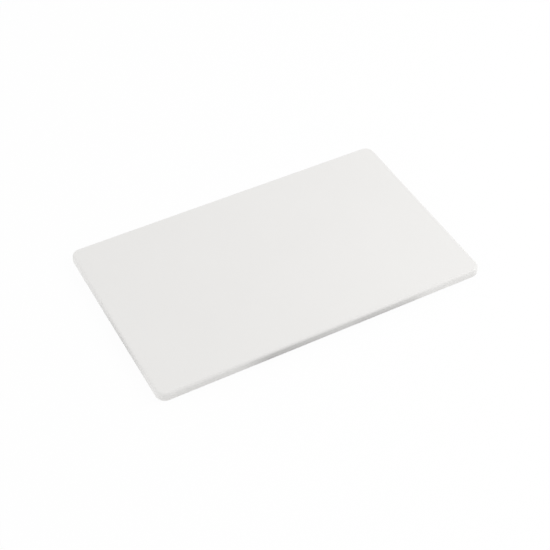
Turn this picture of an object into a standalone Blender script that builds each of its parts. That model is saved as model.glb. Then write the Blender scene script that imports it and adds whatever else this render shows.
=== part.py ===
"""A one-piece kitchen cutting board: a flat polyethylene slab with rounded corners and rounded edges.

Run it with blender --background --python part.py, or from Blender's text editor. Units are metres,
+Z is up, +X runs along the board, and the origin is at the middle of the face that it lies on.
"""
import math

import bpy

# Driving dimensions: the full-size gastronorm format in plan, and a sheet of standard thickness
LENGTH = 0.530
WIDTH = 0.325
THICKNESS = 0.015
CORNER_RADIUS = 0.015
EDGE_RADIUS = 0.004

# Number of flats that make up each rounding
CORNER_FLATS = 16
EDGE_FLATS = 5

# An edge is rounded by EDGE_RADIUS where its two faces meet more sharply than this
RIM_ANGLE = math.radians(60)

# Finish of natural white polyethylene, as linear colour
BOARD_COLOUR = (0.83, 0.82, 0.80)
BOARD_ROUGHNESS = 0.42


def clear_scene():
    for old in list(bpy.data.objects):
        bpy.data.objects.remove(old)


def new_collection(name):
    collection = bpy.data.collections.new(name)
    bpy.context.scene.collection.children.link(collection)
    return collection


def white_polyethylene():
    material = bpy.data.materials.new("white_polyethylene")
    material.use_nodes = True
    shader = material.node_tree.nodes["Principled BSDF"]
    shader.inputs["Base Color"].default_value = (*BOARD_COLOUR, 1.0)
    shader.inputs["Roughness"].default_value = BOARD_ROUGHNESS
    shader.inputs["Metallic"].default_value = 0.0
    return material


def sawn_block(name):
    """The square-cornered block that the board is shaped from, lying on z = 0."""
    bpy.ops.mesh.primitive_cube_add(size=1.0, location=(0.0, 0.0, THICKNESS / 2))
    block = bpy.context.object
    block.name = name
    block.data.name = name
    block.scale = (LENGTH, WIDTH, THICKNESS)
    bpy.ops.object.transform_apply(location=True, rotation=False, scale=True)
    block.data.shade_smooth()
    return block


def mark_upright_edges(mesh):
    """Gives the four upright edges a bevel weight, so that the first rounding takes them alone."""
    weights = mesh.attributes.new("bevel_weight_edge", "FLOAT", "EDGE")
    for edge in mesh.edges:
        start, end = (mesh.vertices[index].co for index in edge.vertices)
        rise = abs(end.z - start.z)
        weights.data[edge.index].value = 1.0 if rise > THICKNESS / 2 else 0.0


def round_corners(board):
    mark_upright_edges(board.data)
    bevel = board.modifiers.new("rounded_corners", "BEVEL")
    bevel.limit_method = "WEIGHT"
    bevel.width = CORNER_RADIUS
    bevel.segments = CORNER_FLATS


def round_rims(board):
    """Rounds the rims of both faces, all the way round the board."""
    bevel = board.modifiers.new("rounded_rims", "BEVEL")
    bevel.limit_method = "ANGLE"
    bevel.angle_limit = RIM_ANGLE
    bevel.width = EDGE_RADIUS
    bevel.segments = EDGE_FLATS
    bevel.harden_normals = True


def make_board(collection):
    board = sawn_block("board")
    round_corners(board)
    round_rims(board)
    board.data.materials.append(white_polyethylene())
    for holder in list(board.users_collection):
        holder.objects.unlink(board)
    collection.objects.link(board)
    return board


def main():
    clear_scene()
    make_board(new_collection("cutting_board"))


main()
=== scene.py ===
"""Looks of the cutting board: its finely rounded body, its polyethylene finish, and a plain studio set."""
import math

import bmesh
import bpy
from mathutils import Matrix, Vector


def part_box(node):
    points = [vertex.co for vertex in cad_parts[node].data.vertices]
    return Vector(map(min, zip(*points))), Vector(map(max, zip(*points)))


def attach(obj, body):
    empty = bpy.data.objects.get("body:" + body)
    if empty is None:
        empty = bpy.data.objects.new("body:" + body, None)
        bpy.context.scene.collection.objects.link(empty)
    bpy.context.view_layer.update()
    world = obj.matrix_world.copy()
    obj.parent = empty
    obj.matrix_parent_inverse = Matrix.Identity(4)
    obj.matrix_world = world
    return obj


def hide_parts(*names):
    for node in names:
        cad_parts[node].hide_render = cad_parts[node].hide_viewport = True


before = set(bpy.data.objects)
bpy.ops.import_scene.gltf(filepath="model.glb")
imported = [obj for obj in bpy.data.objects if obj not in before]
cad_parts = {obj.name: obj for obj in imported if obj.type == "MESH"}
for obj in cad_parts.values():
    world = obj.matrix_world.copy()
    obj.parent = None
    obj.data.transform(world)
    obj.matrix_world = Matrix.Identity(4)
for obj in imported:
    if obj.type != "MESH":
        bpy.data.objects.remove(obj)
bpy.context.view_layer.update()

QUARTER_TURN = math.radians(90)

# The board's size comes from the frame. These are its two roundings, in metres, and the steps in each
CORNER_RADIUS = 0.015
EDGE_RADIUS = 0.004
CORNER_STEPS = 40
EDGE_STEPS = 14

# Finish of the board: colour as linear values, patterns in repeats per metre, relief in metres
BOARD_COLOUR = (0.832, 0.823, 0.808, 1.0)
BOARD_IOR = 1.53
GRAIN_SCALE = (1300.0, 1300.0, 1300.0)
GRAIN_DETAIL = 2.0
GRAIN_RELIEF = 0.0001
GRAIN_ROUGHNESS = (0.40, 0.48)
LINE_SCALE = (25.0, 25.0, 2600.0)
LINE_DETAIL = 3.0
LINE_RELIEF = 0.00004
LINE_ROUGHNESS = (0.32, 0.44)
CLOUD_SCALE = (9.0, 9.0, 9.0)
CLOUD_DETAIL = 4.0
TONE_CHANGE = 0.006

# Upward share of the surface's direction, where the cut side ends and where the pressed face begins
CUT_BELOW = 0.98
FACE_ABOVE = 0.999

# Values between which a noise pattern mostly stays
NOISE_LOW = 0.3
NOISE_HIGH = 0.7

# Camera, fitted to the perspective of the board's outline, in metres and degrees
CAMERA_AZIMUTH = math.radians(-28.324)
CAMERA_ELEVATION = math.radians(45.134)
CAMERA_AIM = Vector((-0.0077, -0.0164, 0.0))
CAMERA_DISTANCE = 1.9498
CAMERA_LENS_MM = 84.94

# Floor: its size and its gap under the board, in metres, and the share of white that the camera sees
FLOOR_SIZE = 12.0
FLOOR_GAP = 0.0002
FLOOR_ALBEDO = 0.95
FLOOR_GLOW = 0.94

# Light that the room gives from each of its sides, where 1 is white
ROOM_RIGHT_BACK_TOP = (1.30, 1.10, 0.62)
ROOM_LEFT_FRONT_BELOW = (1.45, 0.46, 0.0)

# Softbox, in metres, degrees and watts
SOFTBOX_SIZE = 1.2
SOFTBOX_DISTANCE = 1.8
SOFTBOX_AZIMUTH = math.radians(66)
SOFTBOX_ELEVATION = math.radians(40)
SOFTBOX_WATTS = 8.2

# Grey cards by the board's sides: reach in metres, and pairs of place along the side and greyness there
WIDE_CARD = 0.06
NARROW_CARD = 0.03
CARD_ALBEDO = 0.10
FRONT_CARD = ((-0.255, 0.0), (-0.23, 0.2), (-0.135, 0.2), (-0.097, 1.0), (0.036, 0.5), (0.044, 0.7))
FRONT_RIGHT_CARD = ((0.044, 0.7), (0.052, 0.95), (0.148, 0.6), (0.157, 0.06), (0.25, 0.06))
LEFT_CARD = ((-0.15, 0.0), (-0.14, 0.1), (-0.045, 1.0), (0.13, 0.05))
BACK_CARD = ((-0.25, 0.8), (0.25, 0.8))
RIGHT_CARD = ((-0.15, 0.8), (0.15, 0.8))


def direction(azimuth, elevation):
    """Unit vector from the board towards a viewer: azimuth 0 is in front, on the -Y side."""
    level = math.cos(elevation)
    return Vector((math.sin(azimuth) * level, -math.cos(azimuth) * level, math.sin(elevation)))


def add_to_scene(name, data):
    """Makes an object of a mesh, a camera or a lamp, and puts it in the scene."""
    thing = bpy.data.objects.new(name, data)
    bpy.context.scene.collection.objects.link(thing)
    return thing


def finished_mesh(name, shape, material):
    """Turns a bmesh into a mesh with one material, and frees the bmesh."""
    mesh = bpy.data.meshes.new(name)
    shape.to_mesh(mesh)
    shape.free()
    mesh.materials.append(material)
    return mesh


# Camera

def make_camera():
    data = bpy.data.cameras.new("camera")
    data.lens = CAMERA_LENS_MM
    camera = add_to_scene("camera", data)
    back = direction(CAMERA_AZIMUTH, CAMERA_ELEVATION)
    camera.location = CAMERA_AIM + back * CAMERA_DISTANCE
    camera.rotation_mode = "QUATERNION"
    camera.rotation_quaternion = (-back).to_track_quat("-Z", "Y")
    bpy.context.scene.camera = camera


# Node helpers

def new_tree(owner):
    """Empty node tree of a material or a world."""
    owner.use_nodes = True
    owner.node_tree.nodes.clear()
    return owner.node_tree


def add_node(tree, kind, settings=None, values=None):
    """Adds a node and sets its properties and inputs: an input is linked to a socket or stores a value."""
    node = tree.nodes.new(kind)
    for name, setting in (settings or {}).items():
        setattr(node, name, setting)
    for name, value in (values or {}).items():
        if isinstance(value, bpy.types.NodeSocket):
            tree.links.new(value, node.inputs[name])
        else:
            node.inputs[name].default_value = value
    return node


def calculate(tree, operation, *values):
    """Socket with the result of one sum on sockets or numbers."""
    return add_node(tree, "ShaderNodeMath", {"operation": operation}, dict(enumerate(values))).outputs[0]


def combine(tree, operation, *values):
    """Sockets with the result of one sum on vectors."""
    return add_node(tree, "ShaderNodeVectorMath", {"operation": operation}, dict(enumerate(values))).outputs


def remap(tree, value, low, high, start=0.0, end=1.0):
    """Socket that runs from low to high while value runs from start to end, and is level beyond."""
    values = {"Value": value, "From Min": start, "From Max": end, "To Min": low, "To Max": high}
    return add_node(tree, "ShaderNodeMapRange", values=values).outputs[0]


def noise(tree, place, scale, detail):
    """Socket with a noise pattern, at scale repeats per metre along each axis."""
    spread = combine(tree, "MULTIPLY", place, scale)["Vector"]
    values = {"Vector": spread, "Scale": 1.0, "Detail": detail}
    return add_node(tree, "ShaderNodeTexNoise", values=values).outputs["Fac"]


def vary(tree, pattern, low, high):
    """Socket that runs from low to high with a noise pattern."""
    return remap(tree, pattern, low, high, NOISE_LOW, NOISE_HIGH)


def seen_white(tree):
    """Socket that is 1 for the camera and for what mirrors or passes on its view, and otherwise 0."""
    path = add_node(tree, "ShaderNodeLightPath").outputs
    seen = calculate(tree, "MAXIMUM", path["Is Camera Ray"], path["Is Glossy Ray"])
    return calculate(tree, "MAXIMUM", seen, path["Is Transmission Ray"])


# Set

def floor_material():
    """Matt white paper, which the camera sees brightened to white, with the board's shadow left in.

    Where a mesh has greyness, the paper gives that much less light to what stands on it.
    """
    material = bpy.data.materials.new("floor_paper")
    tree = new_tree(material)
    greyness = add_node(tree, "ShaderNodeAttribute", {"attribute_name": "greyness"}).outputs["Fac"]
    lighting = add_node(tree, "ShaderNodeLightPath").outputs["Is Diffuse Ray"]
    albedo = remap(tree, calculate(tree, "MULTIPLY", greyness, lighting), FLOOR_ALBEDO, CARD_ALBEDO)
    paper = add_node(tree, "ShaderNodeBsdfDiffuse", values={"Color": albedo}).outputs[0]
    white = add_node(tree, "ShaderNodeEmission", values={"Strength": 1.0}).outputs[0]
    share = calculate(tree, "MULTIPLY", seen_white(tree), FLOOR_GLOW)
    shader = add_node(tree, "ShaderNodeMixShader", values={0: share, 1: paper, 2: white}).outputs[0]
    add_node(tree, "ShaderNodeOutputMaterial", values={"Surface": shader})
    return material


def make_floor(paper):
    """A wide sheet of paper, a hair under the board."""
    shape = bmesh.new()
    bmesh.ops.create_grid(shape, x_segments=1, y_segments=1, size=FLOOR_SIZE / 2)
    floor = add_to_scene("floor", finished_mesh("floor", shape, paper))
    floor.location.z = -FLOOR_GAP


def make_card(name, paper, stations, side, along, out):
    """A strip of paper on the floor, from just under one side of the board outwards, with its greyness."""
    shape = bmesh.new()
    layer = shape.verts.layers.float.new("greyness")
    rows = []
    for place, greyness in stations:
        inner = side + along * place - out.normalized() * EDGE_RADIUS
        row = [shape.verts.new(inner), shape.verts.new(inner + out)]
        for point in row:
            point[layer] = greyness
        rows.append(row)
    for (inner, outer), (next_inner, next_outer) in zip(rows, rows[1:]):
        shape.faces.new((inner, outer, next_outer, next_inner))
    card = add_to_scene(name, finished_mesh(name, shape, paper))
    card.location.z = -FLOOR_GAP / 2


def make_cards(paper):
    """Cards along all four sides, which dim the light that the floor gives to the sides."""
    low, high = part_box("board")
    right = Vector((1, 0, 0))
    back = Vector((0, 1, 0))
    make_card("front_card", paper, FRONT_CARD, back * low.y, right, -back * WIDE_CARD)
    make_card("front_right_card", paper, FRONT_RIGHT_CARD, back * low.y, right, -back * NARROW_CARD)
    make_card("left_card", paper, LEFT_CARD, right * low.x, back, -right * WIDE_CARD)
    make_card("back_card", paper, BACK_CARD, back * high.y, right, back * WIDE_CARD)
    make_card("right_card", paper, RIGHT_CARD, right * high.x, back, right * WIDE_CARD)


def make_world():
    """A white room, with less light from its front and its ceiling. The camera sees all of it white."""
    world = bpy.data.worlds.new("room")
    bpy.context.scene.world = world
    tree = new_tree(world)
    towards = add_node(tree, "ShaderNodeTexCoord").outputs["Generated"]
    positive = combine(tree, "MAXIMUM", towards, (0, 0, 0))["Vector"]
    negative = combine(tree, "MINIMUM", towards, (0, 0, 0))["Vector"]
    right_back_top = combine(tree, "MULTIPLY", positive, positive)["Vector"]
    left_front_below = combine(tree, "MULTIPLY", negative, negative)["Vector"]
    light = calculate(tree, "ADD",
                      combine(tree, "DOT_PRODUCT", right_back_top, ROOM_RIGHT_BACK_TOP)["Value"],
                      combine(tree, "DOT_PRODUCT", left_front_below, ROOM_LEFT_FRONT_BELOW)["Value"])
    strength = remap(tree, seen_white(tree), light, 1.0)
    white = (1.0, 1.0, 1.0, 1.0)
    room = add_node(tree, "ShaderNodeBackground", values={"Color": white, "Strength": strength})
    add_node(tree, "ShaderNodeOutputWorld", values={"Surface": room.outputs[0]})


def make_softbox():
    """A square softbox that faces the board from the right, a little in front."""
    data = bpy.data.lights.new("softbox", "AREA")
    data.shape = "SQUARE"
    data.size = SOFTBOX_SIZE
    data.energy = SOFTBOX_WATTS
    lamp = add_to_scene("softbox", data)
    towards = direction(SOFTBOX_AZIMUTH, SOFTBOX_ELEVATION)
    lamp.location = towards * SOFTBOX_DISTANCE
    lamp.rotation_mode = "QUATERNION"
    lamp.rotation_quaternion = towards.to_track_quat("Z", "Y")
    lamp.visible_camera = False


def make_set():
    paper = floor_material()
    make_floor(paper)
    make_cards(paper)
    make_world()
    make_softbox()
    bpy.context.scene.view_settings.view_transform = "Standard"


# Board

def polyethylene():
    """White polyethylene: a pressed grain on the two faces, cutter lines on the sides, and faint clouds."""
    material = bpy.data.materials.new("white_polyethylene")
    tree = new_tree(material)
    texture = add_node(tree, "ShaderNodeTexCoord").outputs
    place = texture["Object"]
    upward = add_node(tree, "ShaderNodeSeparateXYZ", values={0: texture["Normal"]}).outputs["Z"]
    on_face = remap(tree, calculate(tree, "ABSOLUTE", upward), 0.0, 1.0, CUT_BELOW, FACE_ABOVE)
    on_cut = calculate(tree, "SUBTRACT", 1.0, on_face)

    grain = noise(tree, place, GRAIN_SCALE, GRAIN_DETAIL)
    lines = noise(tree, place, LINE_SCALE, LINE_DETAIL)
    clouds = noise(tree, place, CLOUD_SCALE, CLOUD_DETAIL)

    tone = calculate(tree, "ADD",
                     vary(tree, clouds, -TONE_CHANGE, TONE_CHANGE),
                     vary(tree, grain, 1.0 - TONE_CHANGE, 1.0 + TONE_CHANGE))
    colour = add_node(tree, "ShaderNodeHueSaturation", values={"Value": tone, "Color": BOARD_COLOUR})

    roughness = calculate(tree, "ADD",
                          calculate(tree, "MULTIPLY", vary(tree, grain, *GRAIN_ROUGHNESS), on_face),
                          calculate(tree, "MULTIPLY", vary(tree, lines, *LINE_ROUGHNESS), on_cut))

    grain_height = calculate(tree, "MULTIPLY", grain, calculate(tree, "MULTIPLY", on_face, GRAIN_RELIEF))
    line_height = calculate(tree, "MULTIPLY", lines, calculate(tree, "MULTIPLY", on_cut, LINE_RELIEF))
    height = calculate(tree, "ADD", grain_height, line_height)
    relief = add_node(tree, "ShaderNodeBump", values={"Height": height, "Distance": 1.0})

    shader = add_node(tree, "ShaderNodeBsdfPrincipled", values={
        "Base Color": colour.outputs[0],
        "Roughness": roughness,
        "IOR": BOARD_IOR,
        "Normal": relief.outputs[0],
    })
    add_node(tree, "ShaderNodeOutputMaterial", values={"Surface": shader.outputs[0]})
    return material


def outline(inset):
    """Points of the board's plan, anticlockwise, drawn in by inset from its full size."""
    low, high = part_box("board")
    radius = CORNER_RADIUS - inset
    centre = (low + high) / 2
    reach = (high - low) / 2 - Vector((CORNER_RADIUS, CORNER_RADIUS, 0.0))
    points = []
    for corner, (across, along) in enumerate(((1, 1), (-1, 1), (-1, -1), (1, -1))):
        middle = centre + Vector((across * reach.x, along * reach.y, 0.0))
        for step in range(CORNER_STEPS + 1):
            angle = QUARTER_TURN * (corner + step / CORNER_STEPS)
            points.append(middle + radius * Vector((math.cos(angle), math.sin(angle), 0.0)))
    return points


def profile():
    """Pairs of inset and height up the board's side, from the underside's flat to the top's."""
    low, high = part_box("board")
    lower = []
    for step in range(EDGE_STEPS + 1):
        angle = QUARTER_TURN * step / EDGE_STEPS
        inset = EDGE_RADIUS * (1 - math.sin(angle))
        height = low.z + EDGE_RADIUS * (1 - math.cos(angle))
        lower.append((inset, height))
    upper = [(inset, low.z + high.z - height) for inset, height in reversed(lower)]
    return lower + upper


def make_board():
    """The slab: rings of points from its underside up to its top, closed by its two flat faces."""
    shape = bmesh.new()
    rings = []
    for inset, height in profile():
        rings.append([shape.verts.new((point.x, point.y, height)) for point in outline(inset)])
    for below, above in zip(rings, rings[1:]):
        for index in range(len(below)):
            following = (index + 1) % len(below)
            shape.faces.new((below[index], below[following], above[following], above[index]))
    shape.faces.new(reversed(rings[0]))
    shape.faces.new(rings[-1])
    mesh = finished_mesh("board_body", shape, polyethylene())
    mesh.shade_smooth()
    board = add_to_scene("board_body", mesh)
    flats = board.modifiers.new("flat_faces_stay_flat", "WEIGHTED_NORMAL")
    flats.keep_sharp = True
    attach(board, "root")
    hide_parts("board")


make_camera()
make_set()
make_board()
